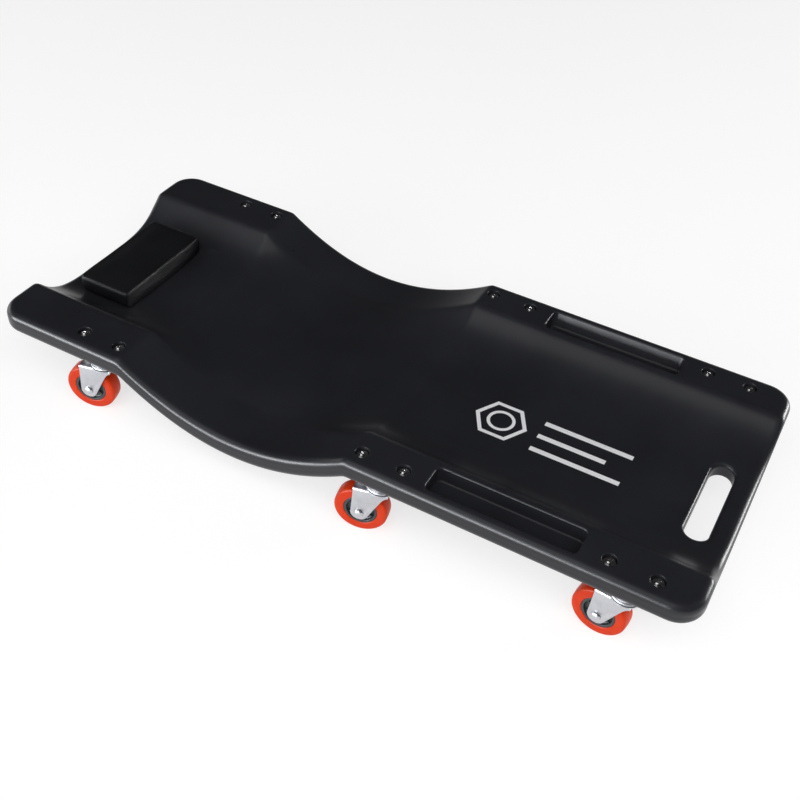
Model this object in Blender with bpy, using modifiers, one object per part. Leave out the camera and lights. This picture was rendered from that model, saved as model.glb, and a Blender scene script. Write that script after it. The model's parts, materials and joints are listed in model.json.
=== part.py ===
"""Mechanics creeper: a blow-moulded deck with a padded headrest on six swivel casters.

Metres, +Z up, floor at z = 0. The origin is on the floor under the deck's centre, the head end is at -X,
and the foot end, with its carrying slot, is at +X.
"""

import math

import bmesh
import bpy
from mathutils import Matrix, Vector

GAP = 0.0003

# Deck outline
DECK_LENGTH = 0.916
DECK_HALF_WIDTH = 0.196
CORNER_RADIUS = 0.032
RIM_RADIUS = 0.010
RIM_SHARE = 0.42

# Deck heights
PLATFORM_TOP = 0.111
PLATFORM_THICKNESS = 0.029
FLOOR_TOP = 0.074
FLOOR_THICKNESS = 0.020
WAIST_FLOOR_DROP = 0.008

# Trough: half-widths where its walls reach the platforms, and how steeply they rise
HEAD_TROUGH_HALF_WIDTH = 0.1275
FOOT_TROUGH_HALF_WIDTH = 0.138
HEAD_TROUGH_POWER = 4.4
FOOT_TROUGH_POWER = 4.0
WALL_INSET_BELOW = 0.013
EDGE_SOFTNESS = 0.15

# Waist: the rims drop in an arch between the head and the middle platforms
WAIST_X = -0.109
WAIST_HALF_SPAN = 0.158
WAIST_END_SOFTNESS = 0.03
WAIST_RIM_DROP = 0.0522

# Deck mesh
PLATFORM_ROW_SPACING = 0.055
WAIST_ROW_SPACING = 0.024
CORNER_STEPS = 4
COLUMN_EDGES = (0.0, 0.027, 0.052, 0.074, 0.091, 0.105, 0.117, 0.128, 0.138, 0.150, 0.186)

# Tool trays, one in each foot-half platform
TRAY_X = (0.143, 0.321)
TRAY_Y = (0.1465, 0.1835)
TRAY_DEPTH = 0.019
TRAY_CORNER = 0.007
TRAY_DRAFT = 0.0015
TRAY_OUTER_SLOPE = 0.0080
TRAY_OVERSHOOT = 0.002

# Carrying slot
SLOT_X = 0.417
SLOT_HALF_WIDTH = 0.0140
SLOT_HALF_LENGTH = 0.064
SLOT_LIP = 0.005

# Casters: positions of the kingpins, and how each near fork stands turned at rest
CASTER_ROWS = {"head": -0.308, "mid": 0.0865, "foot": 0.3795}
CASTER_Y = 0.172
REST_TURN_DEG = {"head": 13.0, "mid": 12.0, "foot": -6.0}
BOLT_SPACING = 0.0526

# Bolts
COUNTERBORE_RADIUS = 0.0083
COUNTERBORE_DEPTH = 0.0055
BOLT_HOLE_RADIUS = 0.0034
BOLT_RADIUS = 0.0030
BOLT_HEAD_RADIUS = 0.0058
BOLT_HEAD_HEIGHT = 0.0034
BOLT_TIP_Z = 0.0735

# Caster stack, from the deck's underside down
UNDERSIDE = PLATFORM_TOP - PLATFORM_THICKNESS
PLATE_TOP = UNDERSIDE - GAP
PLATE_THICKNESS = 0.0025
PLATE_CENTRE_RADIUS = 0.018
PLATE_END_RADIUS = 0.009
RACE_INNER = 0.0095
PLATE_RACE_RADIUS = 0.0160
PLATE_RACE_BOTTOM = 0.0764
RACE_RADIUS = 0.0175
YOKE_TOP = 0.0720
YOKE_SHEET = 0.0022
YOKE_DISC_RADIUS = 0.0180
YOKE_HALF_WIDTH = 0.0146
YOKE_SHOULDER_X = (-0.0293, 0.0070)
YOKE_SHOULDER_HEIGHT = 0.0060
YOKE_TIP_RADIUS = 0.0103
YOKE_BEND = 0.0030
KINGPIN_RADIUS = 0.0041
KINGPIN_HOLE = KINGPIN_RADIUS + GAP
KINGPIN_HEAD = 0.0068
KINGPIN_SINK = 0.0013

# Wheel
WHEEL_RADIUS = 0.0325
TYRE_SIDES = 28
TYRE_HALF_WIDTH = 0.0105
HUB_RADIUS = 0.0200
HUB_HALF_WIDTH = 0.0098
HUB_BOSS_RADIUS = 0.0082
TRAIL = 0.021
AXLE_RADIUS = 0.0040
AXLE_HOLE = AXLE_RADIUS + GAP
AXLE_HEAD = 0.0062
AXLE_HEAD_HEIGHT = 0.0026

# Headrest
PAD_X = (-0.426, -0.346)
PAD_HALF_WIDTH = 0.079
PAD_TOP = 0.104
PAD_ROUND = 0.004
PAD_CLEARANCE = 0.0006
BOARD_THICKNESS = 0.006
BOARD_INSET = 0.006
SCREW_Y = 0.040
SCREW_RADIUS = 0.0023
SCREW_HEAD_RADIUS = 0.0045
SCREW_SEAT_Z = 0.0600
SCREW_TIP_Z = 0.0798

# Colours, roughness and metallic value of each finish
FINISHES = {
    "deck_plastic": ((0.018, 0.019, 0.024), 0.45, 0.0),
    "pad_vinyl": ((0.012, 0.012, 0.014), 0.55, 0.0),
    "board_wood": ((0.42, 0.28, 0.16), 0.80, 0.0),
    "zinc": ((0.62, 0.63, 0.66), 0.32, 1.0),
    "tyre_orange": ((0.72, 0.09, 0.035), 0.40, 0.0),
    "hub_grey": ((0.05, 0.06, 0.07), 0.50, 0.0),
}


# Scene helpers ------------------------------------------------------------------------------------------

def clear_scene():
    for obj in list(bpy.data.objects):
        bpy.data.objects.remove(obj, do_unlink=True)


def new_collection(name):
    collection = bpy.data.collections.new(name)
    bpy.context.scene.collection.children.link(collection)
    return collection


def finish_material(name):
    found = bpy.data.materials.get(name)
    if found:
        return found
    colour, roughness, metallic = FINISHES[name]
    material = bpy.data.materials.new(name)
    material.use_nodes = True
    shader = material.node_tree.nodes["Principled BSDF"]
    shader.inputs["Base Color"].default_value = (*colour, 1.0)
    shader.inputs["Roughness"].default_value = roughness
    shader.inputs["Metallic"].default_value = metallic
    material.diffuse_color = (*colour, 1.0)
    return material


def add_object(name, mesh, collection, location=(0, 0, 0), parent=None):
    obj = bpy.data.objects.new(name, mesh)
    collection.objects.link(obj)
    obj.location = location
    obj.parent = parent
    return obj


def mesh_of(bm, name):
    """The finished mesh of a bmesh, with its faces pointing out."""
    bmesh.ops.recalc_face_normals(bm, faces=bm.faces)
    mesh = bpy.data.meshes.new(name)
    bm.to_mesh(mesh)
    bm.free()
    return mesh


def baked(obj):
    """The object's mesh with its modifiers applied. The object itself is removed."""
    evaluated = obj.evaluated_get(bpy.context.evaluated_depsgraph_get())
    mesh = bpy.data.meshes.new_from_object(evaluated)
    mesh.name = obj.name
    bpy.data.objects.remove(obj, do_unlink=True)
    return mesh


def finished(mesh, finish, sharp_deg=35.0):
    mesh.materials.clear()
    mesh.materials.append(finish_material(finish))
    mesh.shade_smooth()
    mesh.set_sharp_from_angle(angle=math.radians(sharp_deg))
    return mesh


def turned_mesh(name, profile, steps, ring=False):
    """A profile of (radius, z) points turned about Z. It runs down the outer side; a ring's profile closes."""
    count = len(profile)
    last = count if ring else count - 1
    outline = bpy.data.meshes.new(name)
    outline.from_pydata([(r, 0.0, z) for r, z in profile], [(i, (i + 1) % count) for i in range(last)], [])
    obj = add_object(name, outline, bpy.context.scene.collection)
    screw = obj.modifiers.new("turn", "SCREW")
    screw.steps = steps
    screw.render_steps = steps
    screw.use_merge_vertices = True
    screw.merge_threshold = 0.00001
    return baked(obj)


def add_cylinder(bm, radius, bottom, top, segments, x=0.0, y=0.0, radius_top=None):
    place = Matrix.Translation((x, y, (bottom + top) / 2))
    made = bmesh.ops.create_cone(
        bm,
        cap_ends=True,
        segments=segments,
        radius1=radius,
        radius2=radius if radius_top is None else radius_top,
        depth=top - bottom,
        matrix=place,
    )
    return made["verts"]


def add_box(bm, low, high):
    size = Vector(high) - Vector(low)
    place = Matrix.Translation((Vector(high) + Vector(low)) / 2) @ Matrix.Diagonal((*size, 1.0))
    return bmesh.ops.create_cube(bm, size=1.0, matrix=place)["verts"]


def hull(bm):
    """Replaces everything in the bmesh by its convex hull."""
    made = bmesh.ops.convex_hull(bm, input=bm.verts)
    loose = {item for key in ("geom_interior", "geom_unused") for item in made[key]}
    bmesh.ops.delete(bm, geom=[v for v in loose if isinstance(v, bmesh.types.BMVert)], context="VERTS")
    bmesh.ops.dissolve_limit(bm, angle_limit=math.radians(1), verts=bm.verts, edges=bm.edges)
    return bm


def cut_or_join(name, start, tools):
    """The start mesh after cutting or joining each (operation, mesh) tool in turn."""
    mesh = start
    for operation, tool_mesh in tools:
        obj = add_object(name, mesh, bpy.context.scene.collection)
        tool = add_object(name + "_tool", tool_mesh, bpy.context.scene.collection)
        boolean = obj.modifiers.new(operation.lower(), "BOOLEAN")
        boolean.operation = operation
        boolean.object = tool
        mesh = baked(obj)
        bpy.data.objects.remove(tool, do_unlink=True)
    mesh.name = name
    return mesh


# Deck surfaces ------------------------------------------------------------------------------------------

def smooth_min(a, b, softness):
    blend = max(0.0, min(1.0, 0.5 + 0.5 * (b - a) / softness))
    return b + (a - b) * blend - softness * blend * (1.0 - blend)


def smooth_step(low, high, value):
    t = max(0.0, min(1.0, (value - low) / (high - low)))
    return t * t * (3.0 - 2.0 * t)


def waist_arch(x):
    """0 on the platforms and 1 at the waist's lowest point."""
    across = (x - WAIST_X) / WAIST_HALF_SPAN
    return -smooth_min(across * across - 1.0, 0.0, WAIST_END_SOFTNESS)


def toward_foot(x):
    """0 at the head half and 1 at the foot half, where the trough is wider and steeper-walled."""
    return smooth_step(WAIST_X - 0.06, WAIST_X + 0.16, x)


def trough_rise(x, y, inset):
    """0 on the trough's centre line and 1 on the platforms."""
    foot = toward_foot(x)
    half_width = HEAD_TROUGH_HALF_WIDTH + foot * (FOOT_TROUGH_HALF_WIDTH - HEAD_TROUGH_HALF_WIDTH) - inset
    power = HEAD_TROUGH_POWER + foot * (FOOT_TROUGH_POWER - HEAD_TROUGH_POWER)
    return smooth_min((abs(y) / half_width) ** power, 1.0, EDGE_SOFTNESS)


def deck_top(x, y):
    rim = PLATFORM_TOP - WAIST_RIM_DROP * waist_arch(x)
    floor = FLOOR_TOP - WAIST_FLOOR_DROP * waist_arch(x)
    return floor + (rim - floor) * trough_rise(x, y, 0.0)


def deck_bottom(x, y):
    rim = UNDERSIDE - WAIST_RIM_DROP * waist_arch(x)
    floor = FLOOR_TOP - FLOOR_THICKNESS - WAIST_FLOOR_DROP * waist_arch(x)
    return floor + (rim - floor) * trough_rise(x, y, WALL_INSET_BELOW)


def half_width_at(x):
    """Half-width of the deck's flat face, inside its rounded rim."""
    radius = CORNER_RADIUS - RIM_RADIUS
    past = max(0.0, abs(x) - (DECK_LENGTH / 2 - CORNER_RADIUS))
    corner = radius - math.sqrt(max(0.0, radius**2 - past**2))
    return DECK_HALF_WIDTH - RIM_RADIUS - corner


def row_stations():
    """X of each row across the deck: evenly within each stretch, and closer together round the corners."""
    straight = DECK_LENGTH / 2 - CORNER_RADIUS
    waist_reach = WAIST_HALF_SPAN * math.sqrt(1.0 + WAIST_END_SOFTNESS)
    stretches = (-straight, WAIST_X - waist_reach, WAIST_X + waist_reach, straight)
    spacings = (PLATFORM_ROW_SPACING, WAIST_ROW_SPACING, PLATFORM_ROW_SPACING)
    middle = [-straight]
    for low, high, spacing in zip(stretches, stretches[1:], spacings):
        count = round((high - low) / spacing)
        middle += [low + (high - low) * (i + 1) / count for i in range(count)]
    steps = [math.sin(math.pi / 2 * (i + 1) / CORNER_STEPS) for i in range(CORNER_STEPS)]
    foot_corner = [straight + (CORNER_RADIUS - RIM_RADIUS) * s for s in steps]
    head_corner = [-x for x in reversed(foot_corner)]
    return head_corner + middle + foot_corner


def outward_normals(bm):
    """The plan direction straight out of the sheet at each vertex on its boundary."""
    normals = {}
    for edge in (e for e in bm.edges if e.is_boundary):
        along = edge.verts[1].co - edge.verts[0].co
        out = Vector((along.y, -along.x, 0.0)).normalized()
        middle = (edge.verts[0].co + edge.verts[1].co) / 2
        if out.dot(edge.link_faces[0].calc_center_median() - middle) > 0:
            out.negate()
        for vert in edge.verts:
            normals[vert] = normals.get(vert, Vector()) + out
    return {vert: total.normalized() for vert, total in normals.items()}


def add_rim(bm):
    """Rolls the sheet's edge over and down: a quarter round, the side, and a quarter round underneath."""
    ring = {vert: (vert.co.copy(), normal) for vert, normal in outward_normals(bm).items()}
    edges = [e for e in bm.edges if e.is_boundary]
    over, drop = math.sin(math.pi / 4), 1.0 - math.cos(math.pi / 4)
    for out, down, below in ((over, drop, 0), (1, 1, 0), (1, 1, 1), (over, drop, 1), (0, 0, 1)):
        made = bmesh.ops.extrude_edge_only(bm, edges=edges)["geom"]
        edges = [item for item in made if isinstance(item, bmesh.types.BMEdge)]
        moved = {}
        for edge in edges:
            for vert in edge.verts:
                inner = min(ring, key=lambda known: (known.co - vert.co).length_squared)
                moved[vert] = ring[inner]
        for vert, (start, normal) in moved.items():
            underside = deck_bottom(start.x, start.y)
            roll = down * min(RIM_RADIUS, RIM_SHARE * (start.z - underside))
            level = underside + roll if below else start.z - roll
            vert.co = Vector((start.x, start.y, level)) + normal * (out * RIM_RADIUS)
        ring = moved


def deck_mesh():
    """The uncut deck: a grid laid on its upper surface, another on its underside, and the rim between."""
    rows = row_stations()
    columns = [-y for y in reversed(COLUMN_EDGES[1:])] + list(COLUMN_EDGES)
    bm = bmesh.new()
    bmesh.ops.create_grid(bm, x_segments=len(rows) - 1, y_segments=len(columns) - 1, size=1.0)
    for vert in bm.verts:
        x = rows[round((vert.co.x + 1) / 2 * (len(rows) - 1))]
        y = columns[round((vert.co.y + 1) / 2 * (len(columns) - 1))]
        y *= half_width_at(x) / columns[-1]
        vert.co = (x, y, deck_top(x, y))
    upper = bm.faces[:]
    add_rim(bm)
    lower = bmesh.ops.duplicate(bm, geom=upper)["geom"]
    for vert in (item for item in lower if isinstance(item, bmesh.types.BMVert)):
        vert.co.z = deck_bottom(vert.co.x, vert.co.y)
    bmesh.ops.remove_doubles(bm, verts=bm.verts, dist=0.000001)
    return finished(mesh_of(bm, "deck"), "deck_plastic")


# Deck cutters -------------------------------------------------------------------------------------------

def tray_cutter():
    """A rounded pocket for the tray on the +Y side, with a sloping outer wall and slightly drafted others."""
    bm = bmesh.new()
    floor = PLATFORM_TOP - TRAY_DEPTH
    add_box(bm, (TRAY_X[0], TRAY_Y[0], floor), (TRAY_X[1], TRAY_Y[1], PLATFORM_TOP))
    upright = [e for e in bm.edges if abs(e.verts[0].co.z - e.verts[1].co.z) > TRAY_DEPTH / 2]
    bmesh.ops.bevel(bm, geom=upright, offset=TRAY_CORNER, segments=4, profile=0.5, affect="EDGES")
    centre = Vector(((TRAY_X[0] + TRAY_X[1]) / 2, (TRAY_Y[0] + TRAY_Y[1]) / 2, 0.0))
    for vert in bm.verts:
        from_centre = vert.co - centre
        if vert.co.z > PLATFORM_TOP - TRAY_DEPTH / 2:
            vert.co.z += TRAY_OVERSHOOT
            spread = -TRAY_OVERSHOOT / TRAY_DEPTH
        else:
            spread = 1.0
        outer = TRAY_OUTER_SLOPE if from_centre.y > 0 else TRAY_DRAFT
        vert.co.x -= math.copysign(spread * TRAY_DRAFT, from_centre.x)
        vert.co.y -= math.copysign(spread * outer, from_centre.y)
    return mesh_of(bm, "tray_cutter")


def slot_cutter(radius_low, radius_high, bottom, top):
    """An obround cutter along Y, wider at its top when the second radius is larger."""
    bm = bmesh.new()
    end = SLOT_HALF_LENGTH - SLOT_HALF_WIDTH
    for y in (-end, end):
        add_cylinder(bm, radius_low, bottom, top, 20, x=SLOT_X, y=y, radius_top=radius_high)
    return mesh_of(hull(bm), "slot_cutter")


def bolt_cutter():
    seat = PLATFORM_TOP - COUNTERBORE_DEPTH
    above = PLATFORM_TOP + 0.01
    below = UNDERSIDE - 0.01
    profile = [
        (0.0, above),
        (COUNTERBORE_RADIUS, above),
        (COUNTERBORE_RADIUS, seat),
        (BOLT_HOLE_RADIUS, seat),
        (BOLT_HOLE_RADIUS, below),
        (0.0, below),
    ]
    return turned_mesh("bolt_cutter", profile, 16)


def screw_cutter():
    """The hole for a headrest screw, opened out from below for its head."""
    profile = [
        (0.0, 0.1),
        (SCREW_RADIUS + GAP, 0.1),
        (SCREW_RADIUS + GAP, SCREW_SEAT_Z),
        (SCREW_HEAD_RADIUS + 0.0015, SCREW_SEAT_Z),
        (SCREW_HEAD_RADIUS + 0.0015, 0.03),
        (0.0, 0.03),
    ]
    return turned_mesh("screw_cutter", profile, 12)


def bolt_places():
    """(name, x, y) of the twelve deck bolts."""
    for row, row_x in CASTER_ROWS.items():
        for side, sign in (("left", 1), ("right", -1)):
            for end, step in (("a", -0.5), ("b", 0.5)):
                yield f"deck_bolt_{row}_{side}_{end}", row_x + step * BOLT_SPACING, sign * CASTER_Y


def build_deck(parts, cutters):
    deck = add_object("deck", deck_mesh(), parts)
    tray = tray_cutter()
    mirrored_tray = tray.copy()
    mirrored_tray.transform(Matrix.Scale(-1, 4, (0, 1, 0)))
    mirrored_tray.flip_normals()
    add_object("tray_left_cutter", tray, cutters)
    add_object("tray_right_cutter", mirrored_tray, cutters)

    hand_room = slot_cutter(SLOT_HALF_WIDTH, SLOT_HALF_WIDTH, 0.03, FLOOR_TOP - 0.001)
    lip = slot_cutter(SLOT_HALF_WIDTH, SLOT_HALF_WIDTH + 2 * SLOT_LIP, FLOOR_TOP - SLOT_LIP, FLOOR_TOP + SLOT_LIP)
    add_object("slot_cutter", hand_room, cutters)
    add_object("slot_lip_cutter", lip, cutters)

    bolt_hole = bolt_cutter()
    for name, x, y in bolt_places():
        add_object(name + "_cutter", bolt_hole, cutters, (x, y, 0))
    screw_hole = screw_cutter()
    for sign in (1, -1):
        add_object(f"screw_{sign}_cutter", screw_hole, cutters, (sum(PAD_X) / 2, sign * SCREW_Y, 0))
    for cutter in cutters.objects:
        cutter.hide_render = True
        cutter.display_type = "WIRE"

    holes = deck.modifiers.new("holes", "BOOLEAN")
    holes.operand_type = "COLLECTION"
    holes.collection = cutters
    return deck


# Fasteners ----------------------------------------------------------------------------------------------

def bolt_mesh():
    """A pan-head bolt: low domed head on the washer in the counterbore, shank down past the plate."""
    seat = PLATFORM_TOP - COUNTERBORE_DEPTH + 0.0014 + GAP
    top = seat + BOLT_HEAD_HEIGHT
    profile = [
        (0.0, top),
        (BOLT_HEAD_RADIUS * 0.55, top - 0.0003),
        (BOLT_HEAD_RADIUS * 0.90, top - 0.0013),
        (BOLT_HEAD_RADIUS, seat),
        (BOLT_RADIUS, seat),
        (BOLT_RADIUS, BOLT_TIP_Z),
        (0.0, BOLT_TIP_Z),
    ]
    return finished(turned_mesh("deck_bolt", profile, 8), "zinc")


def build_bolts(parts):
    mesh = bolt_mesh()
    for name, x, y in bolt_places():
        add_object(name, mesh, parts, (x, y, 0))


# Headrest -----------------------------------------------------------------------------------------------

def slab_on_deck(name, x_range, half_width, lift, top_of):
    """A slab whose underside follows the trough, lifted off it, and whose top height top_of(x, y) gives."""
    bm = bmesh.new()
    bmesh.ops.create_grid(bm, x_segments=4, y_segments=12, size=1.0)
    middle = sum(x_range) / 2
    half_length = (x_range[1] - x_range[0]) / 2
    for vert in bm.verts:
        x = middle + vert.co.x * half_length
        y = vert.co.y * half_width
        vert.co = (x, y, top_of(x, y))
    extruded = bmesh.ops.extrude_face_region(bm, geom=bm.faces[:], use_keep_orig=True)
    for vert in (item for item in extruded["geom"] if isinstance(item, bmesh.types.BMVert)):
        vert.co.z = deck_top(vert.co.x, vert.co.y) + lift
    return mesh_of(bm, name)


def build_headrest(parts):
    board_x = (PAD_X[0] + BOARD_INSET, PAD_X[1] - BOARD_INSET)
    board_half = PAD_HALF_WIDTH - BOARD_INSET
    middle = sum(PAD_X) / 2

    pocket = slab_on_deck(
        "pocket",
        (board_x[0] - GAP, board_x[1] + GAP),
        board_half + GAP,
        -0.003,
        lambda x, y: deck_top(x, y) + PAD_CLEARANCE + BOARD_THICKNESS + GAP,
    )
    block = add_object(
        "headrest_pad",
        slab_on_deck("headrest_pad", PAD_X, PAD_HALF_WIDTH, PAD_CLEARANCE, lambda x, y: PAD_TOP),
        bpy.context.scene.collection,
    )
    soften = block.modifiers.new("soften", "BEVEL")
    soften.width = PAD_ROUND
    soften.segments = 2
    soften.limit_method = "ANGLE"
    soften.angle_limit = math.radians(40)
    pad = cut_or_join("headrest_pad", baked(block), [("DIFFERENCE", pocket)])
    add_object("headrest_pad", finished(pad, "pad_vinyl"), parts)

    board = slab_on_deck(
        "headrest_board",
        board_x,
        board_half,
        PAD_CLEARANCE,
        lambda x, y: deck_top(x, y) + PAD_CLEARANCE + BOARD_THICKNESS,
    )
    pilot = bmesh.new()
    for sign in (1, -1):
        add_cylinder(pilot, SCREW_RADIUS + GAP, 0.06, SCREW_TIP_Z + GAP, 10, x=middle, y=sign * SCREW_Y)
    board = cut_or_join("headrest_board", board, [("DIFFERENCE", mesh_of(pilot, "pilot"))])
    add_object("headrest_board", finished(board, "board_wood"), parts)

    seat = SCREW_SEAT_Z - GAP
    profile = [
        (0.0, SCREW_TIP_Z),
        (SCREW_RADIUS * 0.5, SCREW_TIP_Z - 0.001),
        (SCREW_RADIUS, SCREW_TIP_Z - 0.003),
        (SCREW_RADIUS, seat),
        (SCREW_HEAD_RADIUS, seat),
        (SCREW_HEAD_RADIUS * 0.85, seat - 0.0018),
        (0.0, seat - 0.0026),
    ]
    screw = finished(turned_mesh("headrest_screw", profile, 10), "zinc")
    for side, sign in (("left", 1), ("right", -1)):
        add_object(f"headrest_screw_{side}", screw, parts, (middle, sign * SCREW_Y, 0))


# Caster pieces. Each is made round the kingpin's axis, with the wheel trailing to -X, except the wheel's
# own pieces, which are made round the axle, lying along Z until they are placed.

def plate_mesh():
    """A two-hole flange plate with the upper ball track pressed down round the kingpin."""
    bottom = PLATE_TOP - PLATE_THICKNESS
    flange = bmesh.new()
    add_cylinder(flange, PLATE_CENTRE_RADIUS, bottom, PLATE_TOP, 16)
    for x in (-BOLT_SPACING / 2, BOLT_SPACING / 2):
        add_cylinder(flange, PLATE_END_RADIUS, bottom, PLATE_TOP, 12, x=x)
    track = bmesh.new()
    track_low = PLATE_RACE_RADIUS - 0.0015
    add_cylinder(track, track_low, PLATE_RACE_BOTTOM, bottom + 0.001, 14, radius_top=PLATE_RACE_RADIUS)
    holes = bmesh.new()
    for x in (-BOLT_SPACING / 2, BOLT_SPACING / 2):
        add_cylinder(holes, BOLT_HOLE_RADIUS, bottom - 0.01, PLATE_TOP + 0.01, 8, x=x)
    bore = turned_mesh(
        "bore",
        [
            (0.0, PLATE_TOP + 0.01),
            (KINGPIN_HEAD + GAP, PLATE_TOP + 0.01),
            (KINGPIN_HEAD + GAP, PLATE_TOP - KINGPIN_SINK),
            (KINGPIN_HOLE, PLATE_TOP - KINGPIN_SINK),
            (KINGPIN_HOLE, PLATE_RACE_BOTTOM - 0.01),
            (0.0, PLATE_RACE_BOTTOM - 0.01),
        ],
        10,
    )
    tools = [
        ("UNION", mesh_of(track, "track")),
        ("DIFFERENCE", mesh_of(holes, "holes")),
        ("DIFFERENCE", bore),
    ]
    return finished(cut_or_join("caster_plate", mesh_of(hull(flange), "flange"), tools), "zinc")


def race_mesh():
    """The ring of balls in its bulging dust shield, between the plate's track and the fork."""
    top = PLATE_RACE_BOTTOM - GAP
    bottom = YOKE_TOP + GAP
    middle = (top + bottom) / 2
    profile = [
        (RACE_INNER, top),
        (RACE_RADIUS - 0.0015, top),
        (RACE_RADIUS, middle),
        (RACE_RADIUS - 0.0015, bottom),
        (RACE_INNER, bottom),
    ]
    return finished(turned_mesh("ball_race", profile, 14, ring=True), "zinc")


def yoke_mesh():
    """The stamped fork: a tapered channel under a round top, bored for the kingpin and the axle."""
    outside = bmesh.new()
    add_box(
        outside,
        (YOKE_SHOULDER_X[0], -YOKE_HALF_WIDTH, YOKE_TOP - YOKE_SHOULDER_HEIGHT),
        (YOKE_SHOULDER_X[1], YOKE_HALF_WIDTH, YOKE_TOP),
    )
    tip = add_cylinder(outside, YOKE_TIP_RADIUS, -YOKE_HALF_WIDTH, YOKE_HALF_WIDTH, 14)
    across = Matrix.Rotation(math.pi / 2, 4, "X")
    bmesh.ops.transform(outside, matrix=Matrix.Translation((-TRAIL, 0, WHEEL_RADIUS)) @ across, verts=tip)
    hull(outside)
    bends = [
        e for e in outside.edges
        if min(v.co.z for v in e.verts) > YOKE_TOP - 0.0001 and abs(e.verts[0].co.y - e.verts[1].co.y) < 0.0001
    ]
    bmesh.ops.bevel(outside, geom=bends, offset=YOKE_BEND, segments=2, profile=0.5, affect="EDGES")

    inside = bmesh.new()
    inner = YOKE_HALF_WIDTH - YOKE_SHEET
    add_box(inside, (-0.06, -inner, 0.0), (0.06, inner, YOKE_TOP - YOKE_SHEET))
    disc = bmesh.new()
    add_cylinder(disc, YOKE_DISC_RADIUS, YOKE_TOP - YOKE_SHEET, YOKE_TOP, 18)
    bores = bmesh.new()
    add_cylinder(bores, KINGPIN_HOLE, YOKE_TOP - 0.01, YOKE_TOP + 0.01, 10)
    axle_bore = add_cylinder(bores, AXLE_HOLE, -0.03, 0.03, 10)
    bmesh.ops.transform(bores, matrix=Matrix.Translation((-TRAIL, 0, WHEEL_RADIUS)) @ across, verts=axle_bore)
    tools = [
        ("DIFFERENCE", mesh_of(inside, "inside")),
        ("UNION", mesh_of(disc, "disc")),
        ("DIFFERENCE", mesh_of(bores, "bores")),
    ]
    return finished(cut_or_join("yoke", mesh_of(outside, "outside"), tools), "zinc")


def kingpin_mesh():
    """The rivet that the fork swivels on: a flush head in the plate and a peened head under the fork."""
    head_top = PLATE_TOP - 0.0001
    head_seat = PLATE_TOP - KINGPIN_SINK + GAP
    peen_top = YOKE_TOP - YOKE_SHEET - GAP
    peen_bottom = peen_top - 0.0026
    profile = [
        (0.0, head_top),
        (KINGPIN_HEAD, head_top),
        (KINGPIN_HEAD, head_seat),
        (KINGPIN_RADIUS, head_seat),
        (KINGPIN_RADIUS, peen_top),
        (KINGPIN_HEAD, peen_top),
        (KINGPIN_HEAD * 0.8, peen_bottom + 0.0008),
        (0.0, peen_bottom),
    ]
    return finished(turned_mesh("kingpin", profile, 10), "zinc")


def axle_mesh():
    """The axle rivet: a plain shank between two domed heads outside the fork."""
    seat = YOKE_HALF_WIDTH + GAP
    top = seat + AXLE_HEAD_HEIGHT
    head = [
        (0.0, top),
        (AXLE_HEAD * 0.6, top - 0.0005),
        (AXLE_HEAD, seat + 0.0006),
        (AXLE_HEAD, seat),
        (AXLE_RADIUS, seat),
    ]
    tail = [(r, -z) for r, z in reversed(head)]
    return finished(turned_mesh("axle", head + tail, 10), "zinc")


def hub_mesh():
    """The wheel's moulded core: a rim band, a thinner web and a boss bored for the axle."""
    boss = YOKE_HALF_WIDTH - YOKE_SHEET - GAP
    outer = HUB_HALF_WIDTH
    web = HUB_HALF_WIDTH - 0.004
    upper = [
        (AXLE_HOLE, boss),
        (HUB_BOSS_RADIUS, boss),
        (HUB_BOSS_RADIUS + 0.0008, web),
        (HUB_RADIUS - 0.0035, web),
        (HUB_RADIUS - 0.0028, outer),
        (HUB_RADIUS, outer),
    ]
    lower = [(r, -z) for r, z in reversed(upper)]
    return finished(turned_mesh("wheel_hub", upper + lower, 14, ring=True), "hub_grey")


def tyre_mesh():
    """The cast tread: a band with rounded shoulders, standing on one of its flats."""
    across_corners = WHEEL_RADIUS / math.cos(math.pi / TYRE_SIDES)
    inner = HUB_RADIUS / math.cos(math.pi / TYRE_SIDES) + GAP
    w = TYRE_HALF_WIDTH
    upper = [
        (inner, w - 0.0006),
        (across_corners - 0.0030, w),
        (across_corners, w - 0.0050),
    ]
    lower = [(r, -z) for r, z in reversed(upper)]
    mesh = turned_mesh("wheel_tyre", upper + lower, TYRE_SIDES, ring=True)
    mesh.transform(Matrix.Rotation(math.pi / TYRE_SIDES, 4, "Z"))
    return finished(mesh, "tyre_orange", 60.0)


def build_caster(parts, meshes, row, side, sign):
    """One caster: a fixed plate, race and kingpin, an empty that swivels, and under it one that spins."""
    where = f"{row}_{side}"
    x = CASTER_ROWS[row]
    y = sign * CASTER_Y
    for piece in ("caster_plate", "ball_race", "kingpin"):
        add_object(f"{piece}_{where}", meshes[piece], parts, (x, y, 0))

    swivel = add_object(f"swivel_axis_{where}", None, parts, (x, y, 0))
    swivel.rotation_euler.z = math.radians(-sign * REST_TURN_DEG[row])
    spin = add_object(f"spin_axis_{where}", None, parts, (-TRAIL, 0, WHEEL_RADIUS), swivel)
    spin.rotation_euler.x = -math.pi / 2

    add_object(f"yoke_{where}", meshes["yoke"], parts, parent=swivel)
    for piece in ("axle", "wheel_hub", "wheel_tyre"):
        add_object(f"{piece}_{where}", meshes[piece], parts, parent=spin)


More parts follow.
